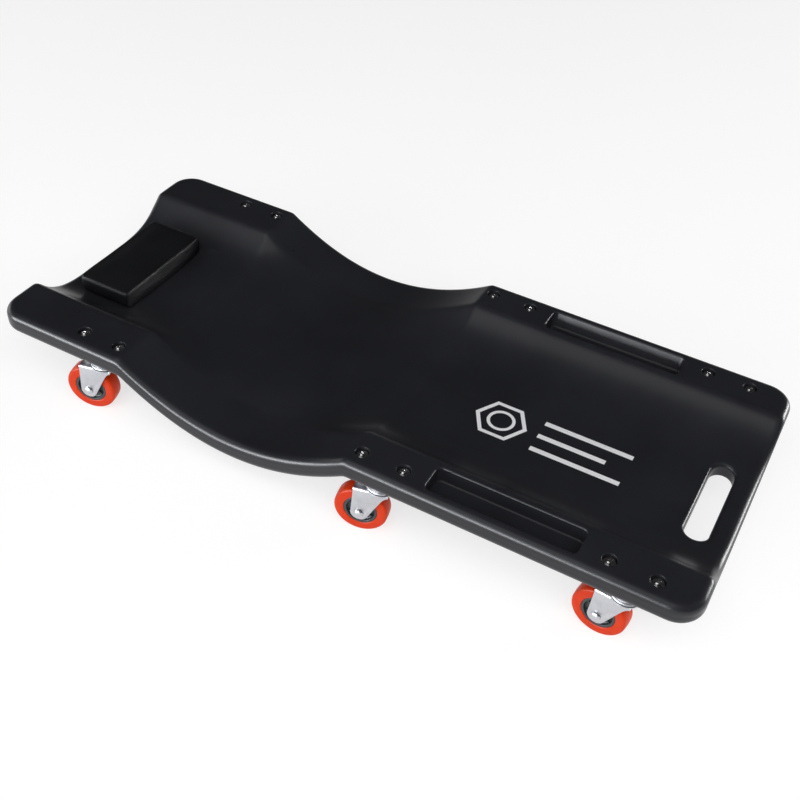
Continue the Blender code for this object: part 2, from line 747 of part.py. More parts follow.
def build():
    clear_scene()
    parts = new_collection("mechanics_creeper")
    cutters = new_collection("cutters")
    build_deck(parts, cutters)
    build_bolts(parts)
    build_headrest(parts)
    meshes = {
        "caster_plate": plate_mesh(),
        "ball_race": race_mesh(),
        "kingpin": kingpin_mesh(),
        "yoke": yoke_mesh(),
        "axle": axle_mesh(),
        "wheel_hub": hub_mesh(),
        "wheel_tyre": tyre_mesh(),
    }
    for row in CASTER_ROWS:
        for side, sign in (("left", 1), ("right", -1)):
            build_caster(parts, meshes, row, side, sign)


build()
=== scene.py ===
"""Mechanics creeper: the looks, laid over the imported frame. Metres, +Z up, +X towards the foot end."""

import json
import math

import bmesh
import bpy
import numpy as np
from mathutils import Euler, Matrix, Vector
from mathutils.bvhtree import BVHTree


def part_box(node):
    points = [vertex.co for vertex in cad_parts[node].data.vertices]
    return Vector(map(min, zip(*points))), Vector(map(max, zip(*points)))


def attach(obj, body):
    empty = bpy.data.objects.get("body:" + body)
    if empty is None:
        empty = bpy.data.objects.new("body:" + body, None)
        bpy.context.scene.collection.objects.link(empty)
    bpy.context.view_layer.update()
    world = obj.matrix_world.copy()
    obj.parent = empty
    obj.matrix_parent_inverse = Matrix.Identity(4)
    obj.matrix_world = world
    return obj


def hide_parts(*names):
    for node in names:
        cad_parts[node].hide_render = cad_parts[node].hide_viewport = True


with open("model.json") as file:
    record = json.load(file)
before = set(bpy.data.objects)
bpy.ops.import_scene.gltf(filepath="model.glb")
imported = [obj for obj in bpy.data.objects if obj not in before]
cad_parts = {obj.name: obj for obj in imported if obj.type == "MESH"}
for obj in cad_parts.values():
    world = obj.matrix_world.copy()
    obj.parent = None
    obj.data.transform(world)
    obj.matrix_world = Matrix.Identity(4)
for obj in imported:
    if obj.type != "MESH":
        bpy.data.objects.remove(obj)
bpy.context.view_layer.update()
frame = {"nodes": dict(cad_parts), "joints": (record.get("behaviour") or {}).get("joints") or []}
joints = {joint["name"]: joint for joint in frame["joints"]}

# The sizes that the frame's deck was made with, for its skin, its holes and what lies on it
DECK_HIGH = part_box("deck")[1]
HALF_LENGTH = DECK_HIGH.x
HALF_WIDTH = DECK_HIGH.y
PLATFORM = DECK_HIGH.z
CORNER = 0.032
ROLL = 0.010
ROLL_SHARE = 0.42
THICKNESS = 0.029
FLOOR = 0.074
FLOOR_THICKNESS = 0.020
WAIST_FLOOR_DROP = 0.008
HEAD_HALF, FOOT_HALF = 0.1275, 0.138
HEAD_POWER, FOOT_POWER = 4.4, 4.0
WALL_INSET_BELOW = 0.013
EDGE_SOFTNESS = 0.15
WAIST_X = -0.109
WAIST_HALF_SPAN = 0.158
WAIST_SOFTNESS = 0.03
WAIST_DROP = 0.0522
TRAY_X, TRAY_Y, TRAY_DEPTH = (0.143, 0.321), (0.1465, 0.1835), 0.019
SLOT_X, SLOT_R, SLOT_END = 0.417, 0.014, 0.050
SEAT = PLATFORM - 0.0055

# The sizes that the frame's casters were made with
PLATE_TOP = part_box("caster_plate_mid_left")[1].z
PLATE_THICKNESS = 0.0025
BOLT_REACH = 0.0263
YOKE_TOP, SHEET, LEG_Y = 0.0720, 0.0022, 0.0146
TRAIL, WHEEL_R = 0.021, 0.0325
TIP_R, REAR_X = 0.0103, -0.0293

# Looks
WELD = 1e-5                     # closes the slivers that a bevel leaves
PRINT_LIFT, PRINT_THICKNESS = 0.00012, 0.0002
BOLT_SHANK_R = 0.0030
PAD_SWELL = 0.0022
PAD_GAP = 0.0006                # between the pad's underside and the trough


# Materials ----------------------------------------------------------------------------------------------

class Nodes:
    """Builds one material's node tree. The colour and roughness given stand where nothing is linked."""

    def __init__(self, name, colour, roughness, metallic=0.0):
        self.material = bpy.data.materials.new(name)
        self.material.use_nodes = True
        self.tree = self.material.node_tree
        self.shader = self.tree.nodes["Principled BSDF"]
        self.shader.inputs["Base Color"].default_value = (*colour, 1.0)
        self.shader.inputs["Roughness"].default_value = roughness
        self.shader.inputs["Metallic"].default_value = metallic
        self.material.diffuse_color = (*colour, 1.0)
        self.place = self.tree.nodes.new("ShaderNodeTexCoord").outputs["Object"]

    def link(self, out, into):
        self.tree.links.new(out, into)

    def noise(self, scale, detail=3.0, rough=0.55, stretch=None):
        node = self.tree.nodes.new("ShaderNodeTexNoise")
        node.inputs["Scale"].default_value = scale
        node.inputs["Detail"].default_value = detail
        node.inputs["Roughness"].default_value = rough
        source = self.place
        if stretch:
            mapping = self.tree.nodes.new("ShaderNodeMapping")
            mapping.inputs["Scale"].default_value = stretch
            self.link(self.place, mapping.inputs["Vector"])
            source = mapping.outputs["Vector"]
        self.link(source, node.inputs["Vector"])
        return node.outputs["Fac"]

    def cells(self, scale, feature="DISTANCE_TO_EDGE"):
        node = self.tree.nodes.new("ShaderNodeTexVoronoi")
        node.feature = feature
        node.inputs["Scale"].default_value = scale
        self.link(self.place, node.inputs["Vector"])
        return node.outputs["Distance"]

    def ramp(self, value, low, high, lowest=0.0, highest=1.0):
        node = self.tree.nodes.new("ShaderNodeMapRange")
        node.inputs["From Min"].default_value = low
        node.inputs["From Max"].default_value = high
        node.inputs["To Min"].default_value = lowest
        node.inputs["To Max"].default_value = highest
        self.link(value, node.inputs["Value"])
        return node.outputs["Result"]

    def maths(self, operation, first, second):
        node = self.tree.nodes.new("ShaderNodeMath")
        node.operation = operation
        for value, socket in ((first, node.inputs[0]), (second, node.inputs[1])):
            if isinstance(value, (int, float)):
                socket.default_value = value
            else:
                self.link(value, socket)
        return node.outputs[0]

    def mix(self, factor, first, second):
        node = self.tree.nodes.new("ShaderNodeMix")
        node.data_type = "RGBA"
        self.link(factor, node.inputs["Factor"])
        for value, socket in ((first, node.inputs["A"]), (second, node.inputs["B"])):
            if isinstance(value, tuple):
                socket.default_value = (*value, 1.0)
            else:
                self.link(value, socket)
        return node.outputs["Result"]

    def edges(self, low=0.51, high=0.56):
        """1 on the object's proud edges, and 0 on its flats."""
        geometry = self.tree.nodes.new("ShaderNodeNewGeometry")
        return self.ramp(geometry.outputs["Pointiness"], low, high)

    def bump(self, height, distance, strength=1.0, under=None):
        node = self.tree.nodes.new("ShaderNodeBump")
        node.inputs["Distance"].default_value = distance
        node.inputs["Strength"].default_value = strength
        self.link(height, node.inputs["Height"])
        if under:
            self.link(under, node.inputs["Normal"])
        return node.outputs["Normal"]

    def colour(self, out):
        self.link(out, self.shader.inputs["Base Color"])

    def roughness(self, out):
        self.link(out, self.shader.inputs["Roughness"])

    def normal(self, out):
        self.link(out, self.shader.inputs["Normal"])

    def set(self, socket, value):
        self.shader.inputs[socket].default_value = value


def deck_material():
    m = Nodes("moulded_black_plastic", (0.0070, 0.0075, 0.0098), 0.36)
    broad = m.noise(9.0, 4.0)
    cloud = m.noise(70.0, 2.0, 0.5)
    base = m.mix(m.ramp(broad, 0.35, 0.68), (0.0133, 0.0137, 0.0168), (0.0171, 0.0176, 0.0215))
    # Proud edges painted lighter in patches: partly rubbed wear, partly a painted highlight along the rims
    # and edges.
    rubbed_and_highlit_edges = m.maths("MULTIPLY", m.edges(), m.ramp(m.noise(60.0, 5.0), 0.42, 0.66, 0.0, 0.55))
    m.colour(m.mix(rubbed_and_highlit_edges, base, (0.030, 0.031, 0.036)))
    rough = m.maths("ADD", m.ramp(broad, 0.3, 0.7, 0.27, 0.31), m.ramp(cloud, 0.3, 0.7, 0.0, 0.03))
    m.roughness(rough)
    waves = m.bump(m.noise(16.0, 2.0, 0.4), 0.0009, 0.5)
    m.normal(m.bump(m.noise(1500.0, 2.0, 0.5), 0.00003, 0.5, waves))
    m.set("Specular IOR Level", 0.32)
    return m.material


def vinyl_material():
    m = Nodes("black_vinyl", (0.0060, 0.0061, 0.0068), 0.42)
    broad = m.noise(22.0, 3.0)
    m.colour(m.mix(m.ramp(broad, 0.35, 0.7), (0.0042, 0.0044, 0.0054), (0.0058, 0.0061, 0.0075)))
    grain = m.cells(950.0)
    m.roughness(m.ramp(grain, 0.0, 0.35, 0.50, 0.38))
    soft = m.bump(m.noise(38.0, 2.0, 0.5), 0.0008, 0.45)
    m.normal(m.bump(m.ramp(grain, 0.0, 0.30), 0.00012, 0.8, soft))
    m.set("Specular IOR Level", 0.35)
    return m.material


def zinc_material(name="zinc_plated_steel", tint=(0.56, 0.57, 0.60), low=0.24, high=0.40):
    m = Nodes(name, tint, 0.32, 1.0)
    spangle = m.cells(260.0, "F1")
    stain = m.noise(70.0, 4.0)
    dull = tuple(0.80 * value for value in tint)
    m.colour(m.mix(m.ramp(stain, 0.35, 0.72), tint, dull))
    m.roughness(m.maths("ADD", m.ramp(stain, 0.3, 0.7, low, high), m.ramp(spangle, 0.0, 0.9, 0.0, 0.06)))
    m.normal(m.bump(m.noise(520.0, 3.0), 0.00006, 0.5))
    return m.material


def tyre_material():
    m = Nodes("orange_polyurethane", (0.62, 0.040, 0.010), 0.36)
    cloud = m.noise(45.0, 3.0)
    clean = m.mix(m.ramp(cloud, 0.3, 0.7), (0.55, 0.029, 0.0022), (0.64, 0.040, 0.0036))
    grime = m.maths("MULTIPLY", m.edges(0.505, 0.55), m.ramp(m.noise(110.0, 4.0), 0.45, 0.7, 0.0, 0.5))
    m.colour(m.mix(grime, clean, (0.26, 0.024, 0.010)))
    m.roughness(m.ramp(m.noise(160.0, 3.0), 0.3, 0.7, 0.30, 0.46))
    m.set("Specular IOR Level", 0.14)
    m.normal(m.bump(m.noise(650.0, 2.0), 0.00005, 0.6))
    return m.material


def hub_material():
    m = Nodes("grey_wheel_core", (0.040, 0.050, 0.056), 0.44)
    cloud = m.noise(60.0, 3.0)
    m.colour(m.mix(m.ramp(cloud, 0.3, 0.7), (0.017, 0.022, 0.025), (0.026, 0.033, 0.037)))
    m.roughness(m.ramp(m.noise(300.0, 3.0), 0.3, 0.7, 0.38, 0.54))
    m.normal(m.bump(m.noise(900.0, 2.0), 0.00005, 0.6))
    return m.material


def print_material():
    m = Nodes("white_print", (0.80, 0.80, 0.82), 0.45)
    wear = m.ramp(m.noise(240.0, 5.0), 0.62, 0.72, 0.0, 0.5)
    m.colour(m.mix(wear, (0.82, 0.82, 0.84), (0.42, 0.42, 0.44)))
    m.roughness(m.ramp(m.noise(500.0, 2.0), 0.3, 0.7, 0.40, 0.52))
    m.normal(m.bump(m.noise(1500.0, 2.0), 0.00004, 0.6))
    return m.material


def board_material():
    m = Nodes("plywood", (0.42, 0.28, 0.16), 0.8)
    grain = m.noise(60.0, 5.0, 0.6, (0.4, 6.0, 6.0))
    m.colour(m.mix(m.ramp(grain, 0.35, 0.65), (0.30, 0.18, 0.09), (0.52, 0.36, 0.22)))
    m.roughness(m.ramp(grain, 0.3, 0.7, 0.72, 0.86))
    m.normal(m.bump(grain, 0.0003, 0.6))
    return m.material


def floor_material():
    m = Nodes("studio_floor", (0.36, 0.36, 0.36), 0.9)
    m.colour(m.mix(m.ramp(m.noise(1.5, 2.0), 0.3, 0.7), (0.36, 0.36, 0.36), (0.365, 0.365, 0.365)))
    m.set("Specular IOR Level", 0.1)
    m.set("Emission Color", (1.0, 1.0, 1.0, 1.0))
    m.set("Emission Strength", 0.70)
    return m.material


def backdrop_material():
    material = bpy.data.materials.new("studio_backdrop")
    material.use_nodes = True
    shader = material.node_tree.nodes["Principled BSDF"]
    shader.inputs["Base Color"].default_value = (0.0, 0.0, 0.0, 1.0)
    shader.inputs["Specular IOR Level"].default_value = 0.0
    shader.inputs["Emission Color"].default_value = (0.74, 0.74, 0.745, 1.0)
    shader.inputs["Emission Strength"].default_value = 1.0
    return material


DECK_PLASTIC = deck_material()
VINYL = vinyl_material()
ZINC = zinc_material()
BRIGHT_ZINC = zinc_material("bright_zinc", (0.82, 0.82, 0.83), 0.12, 0.22)
TYRE = tyre_material()
HUB = hub_material()
PRINT = print_material()
BOARD = board_material()


# Mesh helpers -------------------------------------------------------------------------------------------

def link(name, mesh):
    obj = bpy.data.objects.new(name, mesh)
    bpy.context.scene.collection.objects.link(obj)
    return obj


def shade(mesh, material, sharp_deg=38.0):
    mesh.materials.clear()
    mesh.materials.append(material)
    mesh.shade_smooth()
    mesh.set_sharp_from_angle(angle=math.radians(sharp_deg))
    return mesh


def from_bmesh(bm, name):
    bmesh.ops.recalc_face_normals(bm, faces=bm.faces)
    mesh = bpy.data.meshes.new(name)
    bm.to_mesh(mesh)
    bm.free()
    return mesh


def bake(obj):
    """The object's mesh with its modifiers applied; the object goes."""
    evaluated = obj.evaluated_get(bpy.context.evaluated_depsgraph_get())
    mesh = bpy.data.meshes.new_from_object(evaluated)
    bpy.data.objects.remove(obj, do_unlink=True)
    return mesh


def boolean(mesh, tool_mesh, operation="DIFFERENCE"):
    obj = link("boolean_base", mesh)
    tool = link("boolean_tool", tool_mesh)
    modifier = obj.modifiers.new("cut", "BOOLEAN")
    modifier.operation = operation
    modifier.solver = "EXACT"
    modifier.object = tool
    result = bake(obj)
    bpy.data.objects.remove(tool, do_unlink=True)
    return result


def bevelled(mesh, width, segments, angle):
    obj = link("bevel_base", mesh)
    modifier = obj.modifiers.new("bevel", "BEVEL")
    modifier.width = width
    modifier.segments = segments
    modifier.limit_method = "ANGLE"
    modifier.angle_limit = math.radians(angle)
    weld = obj.modifiers.new("weld", "WELD")
    weld.merge_threshold = WELD
    return bake(obj)


def circle(x, y, radius, count):
    """Plan points of a circle."""
    turns = [2 * math.pi * i / count for i in range(count)]
    return [(x + radius * math.cos(t), y + radius * math.sin(t)) for t in turns]


def lathe(name, profile, steps, ring=False):
    """Turns (radius, z) points about Z. The profile runs down the outer side; a ring's profile closes."""
    bm = bmesh.new()
    loops = []
    for radius, z in profile:
        plan = circle(0, 0, radius, steps) if radius > 0 else [(0, 0)]
        loops.append([bm.verts.new((x, y, z)) for x, y in plan])
    pairs = list(zip(loops, loops[1:]))
    if ring:
        pairs.append((loops[-1], loops[0]))
    for upper, lower in pairs:
        for i in range(steps):
            k = (i + 1) % steps
            corners = [upper[i % len(upper)], lower[i % len(lower)]]
            corners += [lower[k % len(lower)], upper[k % len(upper)]]
            corners = list(dict.fromkeys(corners))
            if len(corners) > 2:
                bm.faces.new(corners)
    return from_bmesh(bm, name)


def arc(cx, cz, radius, start, end, count):
    """Points on an arc, in degrees, both ends included."""
    angles = [math.radians(start + (end - start) * i / (count - 1)) for i in range(count)]
    return [(cx + radius * math.cos(a), cz + radius * math.sin(a)) for a in angles]


def loft(bm, loops):
    """A closed solid through loops of equal length, from the lowest to the highest, with both ends capped."""
    rings = [[bm.verts.new(point) for point in loop] for loop in loops]
    for lower, upper in zip(rings, rings[1:]):
        for i in range(len(lower)):
            k = (i + 1) % len(lower)
            bm.faces.new((lower[i], lower[k], upper[k], upper[i]))
    bm.faces.new(list(reversed(rings[0])))
    bm.faces.new(rings[-1])


def tube(name, points, radius, closed=True):
    """A round cord swept through the points."""
    curve = bpy.data.curves.new(name, "CURVE")
    curve.dimensions = "3D"
    curve.bevel_depth = radius
    curve.bevel_resolution = 2
    curve.use_fill_caps = not closed
    spline = curve.splines.new("POLY")
    spline.points.add(len(points) - 1)
    for point, place in zip(spline.points, points):
        point.co = (*place, 1.0)
    spline.use_cyclic_u = closed
    return bake(link(name, curve))


def cylinder(bm, sides, radius, depth, place):
    bmesh.ops.create_cone(bm, cap_ends=True, segments=sides, radius1=radius, radius2=radius,
                          depth=depth, matrix=place)


def join_meshes(name, meshes):
    bm = bmesh.new()
    for mesh in meshes:
        bm.from_mesh(mesh)
    result = bpy.data.meshes.new(name)
    bm.to_mesh(result)
    bm.free()
    return result


# Deck surfaces ------------------------------------------------------------------------------------------

def smooth_min(a, b, softness):
    blend = np.clip(0.5 + 0.5 * (b - a) / softness, 0.0, 1.0)
    return b + (a - b) * blend - softness * blend * (1.0 - blend)


def smooth_step(low, high, value):
    t = np.clip((value - low) / (high - low), 0.0, 1.0)
    return t * t * (3.0 - 2.0 * t)


def waist_arch(x):
    across = (x - WAIST_X) / WAIST_HALF_SPAN
    return -smooth_min(across * across - 1.0, 0.0, WAIST_SOFTNESS)


def trough_rise(x, y, inset):
    foot = smooth_step(WAIST_X - 0.06, WAIST_X + 0.16, x)
    half = HEAD_HALF + foot * (FOOT_HALF - HEAD_HALF) - inset
    power = HEAD_POWER + foot * (FOOT_POWER - HEAD_POWER)
    return smooth_min((np.abs(y) / half) ** power, 1.0, EDGE_SOFTNESS)


def deck_top(x, y):
    """The upper surface's height at arrays of places."""
    rim = PLATFORM - WAIST_DROP * waist_arch(x)
    floor = FLOOR - WAIST_FLOOR_DROP * waist_arch(x)
    return floor + (rim - floor) * trough_rise(x, y, 0.0)


def deck_bottom(x, y):
    """The underside's height at arrays of places, without its dimples."""
    rim = PLATFORM - THICKNESS - WAIST_DROP * waist_arch(x)
    floor = FLOOR - FLOOR_THICKNESS - WAIST_FLOOR_DROP * waist_arch(x)
    return floor + (rim - floor) * trough_rise(x, y, WALL_INSET_BELOW)


def level_at(surface, x, y):
    """One place's height on deck_top or deck_bottom."""
    return float(surface(np.array([x]), np.array([y]))[0])


def dents(x, y, places, radius, depth):
    """Round bumps that fade out at the radius."""
    total = np.zeros_like(x)
    for px, py in places:
        near = np.clip(1.0 - ((x - px) ** 2 + (y - py) ** 2) / radius**2, 0.0, 1.0)
        total += depth * near * near * (3.0 - 2.0 * near)
    return total


def half_width_at(x):
    """The flat part's half width, narrowing round the corners."""
    radius = CORNER - ROLL
    past = np.maximum(0.0, np.abs(x) - (HALF_LENGTH - CORNER))
    return HALF_WIDTH - ROLL - (radius - np.sqrt(np.maximum(0.0, radius**2 - past**2)))


def deck_shell():
    """The deck before its holes: a fine grid above, another below, and a rolled rim with a parting line."""
    corner_rows, straight_rows, across = 10, 216, 97
    straight = HALF_LENGTH - CORNER
    steps = [math.sin(math.pi / 2 * (i + 1) / corner_rows) for i in range(corner_rows)]
    corner = [straight + (CORNER - ROLL) * s for s in steps]
    middle_rows = list(np.linspace(-straight, straight, straight_rows))
    rows = np.array([-x for x in reversed(corner)] + middle_rows + corner)
    columns = np.linspace(-1.0, 1.0, across)
    x = np.repeat(rows[:, None], len(columns), 1)
    y = columns[None, :] * half_width_at(rows)[:, None]

    nubs, nub_r, nub_height = [(-0.332, 0.087), (-0.332, -0.087)], 0.0055, 0.0020
    dimple_rows, dimple_r, dimple_depth = (-0.285, -0.215, 0.120, 0.200, 0.280, 0.350), 0.013, 0.009
    dimples = [(tx, ty) for tx in dimple_rows for ty in (-0.050, 0.0, 0.050)]
    top = deck_top(x, y) + dents(x, y, nubs, nub_r, nub_height)
    bottom = deck_bottom(x, y) + dents(x, y, dimples, dimple_r, dimple_depth)

    ni, nj = x.shape
    around = [(0, j) for j in range(nj)] + [(i, nj - 1) for i in range(1, ni)]
    around += [(ni - 1, j) for j in range(nj - 2, -1, -1)] + [(i, 0) for i in range(ni - 2, 0, -1)]
    ai = np.array([a for a, _ in around])
    aj = np.array([b for _, b in around])
    bx, by = x[ai, aj], y[ai, aj]
    step = np.stack([np.roll(bx, -1) - bx, np.roll(by, -1) - by], 1)
    step /= np.linalg.norm(step, axis=1)[:, None]
    along = step + np.roll(step, 1, 0)
    out = np.stack([-along[:, 1], along[:, 0]], 1)
    out /= np.linalg.norm(out, axis=1)[:, None]
    if (out[:, 0] * bx + out[:, 1] * by).sum() < 0:
        out = -out

    above, below = top[ai, aj], bottom[ai, aj]
    roll = np.minimum(ROLL, ROLL_SHARE * (above - below))
    middle = (above + below) / 2
    rings = []
    roll_steps = 8
    parting_depth, parting_half, parting_floor = 0.00014, 0.0006, 0.0002
    turns = [math.radians(90 * (k + 1) / roll_steps) for k in range(roll_steps)]
    for t in turns:
        rings.append((ROLL * math.sin(t), above - roll * (1 - math.cos(t))))
    rings += [(ROLL, middle + parting_half), (ROLL - parting_depth, middle + parting_floor)]
    rings += [(ROLL - parting_depth, middle - parting_floor), (ROLL, middle - parting_half)]
    for t in reversed(turns):
        rings.append((ROLL * math.sin(t), below + roll * (1 - math.cos(t))))

    grid = np.arange(ni * nj).reshape(ni, nj)
    points = [np.stack([x.ravel(), y.ravel(), top.ravel()], 1)]
    points.append(np.stack([x.ravel(), y.ravel(), bottom.ravel()], 1))
    faces = []
    upper = np.stack([grid[:-1, :-1], grid[1:, :-1], grid[1:, 1:], grid[:-1, 1:]], -1).reshape(-1, 4)
    faces.append(upper)
    faces.append(upper[:, ::-1] + ni * nj)
    last = grid[ai, aj]
    start = 2 * ni * nj
    count = len(ai)
    loops = [last]
    for offset, level in rings:
        points.append(np.stack([bx + out[:, 0] * offset, by + out[:, 1] * offset, level], 1))
        loops.append(np.arange(start, start + count))
        start += count
    loops.append(last + ni * nj)
    for a, b in zip(loops, loops[1:]):
        faces.append(np.stack([a, np.roll(a, -1), np.roll(b, -1), b], 1))
    mesh = bpy.data.meshes.new("deck_shell")
    mesh.from_pydata(np.concatenate(points).tolist(), [], np.concatenate(faces).tolist())
    bm = bmesh.new()
    bm.from_mesh(mesh)
    return from_bmesh(bm, "deck_shell")


def rounded_box(x0, x1, y0, y1, radius, count):
    """Plan points of a rounded rectangle."""
    corners = ((x1 - radius, y1 - radius, 0), (x0 + radius, y1 - radius, 90),
               (x0 + radius, y0 + radius, 180), (x1 - radius, y0 + radius, 270))
    return [p for cx, cy, start in corners for p in arc(cx, cy, radius, start, start + 90, count)]


def tray_loops(sign):
    """The tray's pocket: filleted floor, drafted walls with a sloping outer one, and a rounded lip."""
    fillet, lip, proud = 0.0028, 0.0022, 0.002
    draft, outer_slope, corner = 0.0015, 0.0088, 0.0065
    levels = []
    for k in range(6):
        t = math.radians(90 * k / 5)
        levels.append((TRAY_DEPTH - fillet * (1 - math.cos(t)), -fillet * (1 - math.sin(t))))
    for k in range(6):
        t = math.radians(88 * k / 5)
        levels.append((lip * (1 - math.sin(t)), lip * (1 - math.cos(t))))
    levels.append((-proud, lip))
    loops = []
    for depth, grow in levels:
        share = max(0.0, depth) / TRAY_DEPTH
        x0 = TRAY_X[0] + draft * share - grow
        x1 = TRAY_X[1] - draft * share + grow
        y0 = TRAY_Y[0] + draft * share - grow
        y1 = TRAY_Y[1] - outer_slope * share + grow
        plan = rounded_box(x0, x1, y0, y1, corner + grow, 8)
        if sign < 0:
            plan = [(x, -y) for x, y in reversed(plan)]
        loops.append([(x, y, PLATFORM - depth) for x, y in plan])
    return loops


def slot_loops():
    """The carrying slot: an obround rolled over at its top and bottom edges, following both surfaces."""
    def plan(grow):
        radius = SLOT_R + grow
        return arc(SLOT_X, SLOT_END, radius, 0, 180, 20) + arc(SLOT_X, -SLOT_END, radius, 180, 360, 20)

    def rolled(radius, degrees):
        """(depth, growth) pairs down an edge of this radius."""
        turns = [math.radians(a) for a in degrees]
        return [(radius * (1 - math.sin(t)), radius * (1 - math.cos(t))) for t in turns]

    lip, under, proud = 0.0048, 0.0030, 0.004
    loops = []
    for depth, grow in [(-proud, under)] + rolled(under, (85, 60, 40, 20, 0)):
        loops.append([(x, y, level_at(deck_bottom, x, y) + depth) for x, y in plan(grow)])
    for depth, grow in rolled(lip, (0, 15, 30, 45, 60, 74, 86)) + [(-proud, lip)]:
        loops.append([(x, y, level_at(deck_top, x, y) - depth) for x, y in plan(grow)])
    return loops


def round_loops(x, y, levels, count):
    """Circles for loft, from (radius, z) levels."""
    return [[(px, py, z) for px, py in circle(x, y, r, count)] for r, z in levels]


def centre(name):
    """The plan place of a node's middle."""
    low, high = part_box(name)
    return (low.x + high.x) / 2, (low.y + high.y) / 2


def build_deck():
    bm = bmesh.new()
    loft(bm, tray_loops(1))
    loft(bm, tray_loops(-1))
    loft(bm, slot_loops())
    hole, counterbore, lip = 0.0034, 0.0083, 0.0008
    levels = [(hole, PLATFORM - THICKNESS - 0.004), (hole, SEAT), (counterbore, SEAT)]
    for t in (math.radians(a) for a in (0, 30, 60, 86)):
        levels.append((counterbore + lip * (1 - math.cos(t)), PLATFORM - lip * (1 - math.sin(t))))
    levels.append((counterbore + lip, PLATFORM + 0.002))
    for name in frame["nodes"]:
        if name.startswith("deck_bolt_"):
            loft(bm, round_loops(*centre(name), levels, 40))
    head_hole, shank_hole, shoulder = 0.0060, 0.0026, 0.0600
    levels = [(head_hole, 0.03), (head_hole, shoulder), (shank_hole, shoulder), (shank_hole, 0.09)]
    for side in ("left", "right"):
        loft(bm, round_loops(*centre(f"headrest_screw_{side}"), levels, 28))
    cutters = from_bmesh(bm, "deck_cutters")
    mesh = shade(boolean(deck_shell(), cutters), DECK_PLASTIC, 40.0)
    deck = link("deck_shell", mesh)
    weigh = deck.modifiers.new("weigh", "WEIGHTED_NORMAL")
    weigh.keep_sharp = True
    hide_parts("deck")
    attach(deck, "deck_frame")


# Printed mark: a plain hexagon nut outline with three bars, lying on the trough's floor -------------------

def laid(bm, points):
    return [bm.verts.new((x, y, level_at(deck_top, x, y) + PRINT_LIFT)) for x, y in points]


def printed_ring(bm, outer, inner):
    """Faces between two loops, laid on the trough's floor."""
    outer_verts, inner_verts = laid(bm, outer), laid(bm, inner)
    for i in range(len(outer_verts)):
        k = (i + 1) % len(outer_verts)
        bm.faces.new((outer_verts[i], outer_verts[k], inner_verts[k], inner_verts[i]))


def printed_bar(bm, x0, x1, y, half, count=25):
    xs = [x0 + (x1 - x0) * k / (count - 1) for k in range(count)]
    a, b = laid(bm, [(x, y + half) for x in xs]), laid(bm, [(x, y - half) for x in xs])
    for i in range(count - 1):
        bm.faces.new((a[i], a[i + 1], b[i + 1], b[i]))


def hexagon(cx, cy, radius, per_side=12):
    corners = circle(cx, cy, radius, 6)
    points = []
    for (ax, ay), (bx, by) in zip(corners, corners[1:] + corners[:1]):
        points += [(ax + (bx - ax) * k / per_side, ay + (by - ay) * k / per_side) for k in range(per_side)]
    return points


def build_print():
    bm = bmesh.new()
    nut_x, nut_y = 0.158, -0.006
    nut_outer, nut_inner, bore_outer, bore_inner = 0.0340, 0.0285, 0.0175, 0.0135
    printed_ring(bm, hexagon(nut_x, nut_y, nut_outer), hexagon(nut_x, nut_y, nut_inner))
    printed_ring(bm, circle(nut_x, nut_y, bore_outer, 64), circle(nut_x, nut_y, bore_inner, 64))
    bars_from, bar_half = 0.206, 0.0034
    for y, bar_to in ((0.018, 0.318), (-0.006, 0.292), (-0.030, 0.318)):
        printed_bar(bm, bars_from, bar_to, y, bar_half)
    sheet = link("print_base", from_bmesh(bm, "print_base"))
    thick = sheet.modifiers.new("thick", "SOLIDIFY")
    thick.thickness = PRINT_THICKNESS
    thick.offset = 0.0
    mark = link("printed_mark", shade(bake(sheet), PRINT))
    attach(mark, "deck_frame")


# Fasteners ----------------------------------------------------------------------------------------------

def cross_recess(bottom, top, narrow, wide):
    """A tapered plus-shaped cutter; narrow and wide are its (reach, half width) at the bottom and the top."""
    bm = bmesh.new()
    loops = []
    for z, (reach, half) in ((bottom, narrow), (top, wide)):
        corner = ((reach, half), (half, half), (half, reach))
        loops.append([(c * x - s * y, s * x + c * y, z)
                      for c, s in ((1, 0), (0, 1), (-1, 0), (0, -1)) for x, y in corner])
    loft(bm, loops)
    return from_bmesh(bm, "cross")


def bolt_mesh(low, high):
    """A domed head with a cross recess on a thin flange, with its shank, round the bolt's own axis."""
    top = high.z
    under = SEAT + 0.0015
    radius, dome, flange = 0.0043, 0.0034, 0.0058
    profile = [(0.0, top)]
    profile += [(radius * math.sin(t), top - dome * (1 - math.cos(t))) for t in
                (math.radians(a) for a in (10, 20, 30, 40, 50, 60, 70, 80, 88))]
    profile += [(flange - 0.0006, under + 0.0009), (flange - 0.0002, under + 0.0007)]
    profile += [(flange, under + 0.0003), (flange - 0.0002, under)]
    profile += [(BOLT_SHANK_R, under), (BOLT_SHANK_R, low.z + 0.0008)]
    profile += [(0.0023, low.z), (0.0, low.z)]
    head = lathe("bolt", profile, 48)
    head = boolean(head, cross_recess(top - 0.0013, top + 0.0004, (0.0007, 0.0003), (0.0025, 0.0005)))
    return shade(bevelled(head, 0.00010, 1, 50), BRIGHT_ZINC, 50)


def washer_mesh(outer, inner, low, high):
    """A stamped washer with a rounded outer edge."""
    soft = min(0.0006, (high - low) / 2)
    profile = [(inner, high), (outer - soft, high)]
    profile += arc(outer - soft, high - soft, soft, 72, 0, 5)
    profile += [(outer, low + 0.0001), (outer - 0.0001, low), (inner, low)]
    return shade(lathe("washer", profile, 48, ring=True), BRIGHT_ZINC, 60)


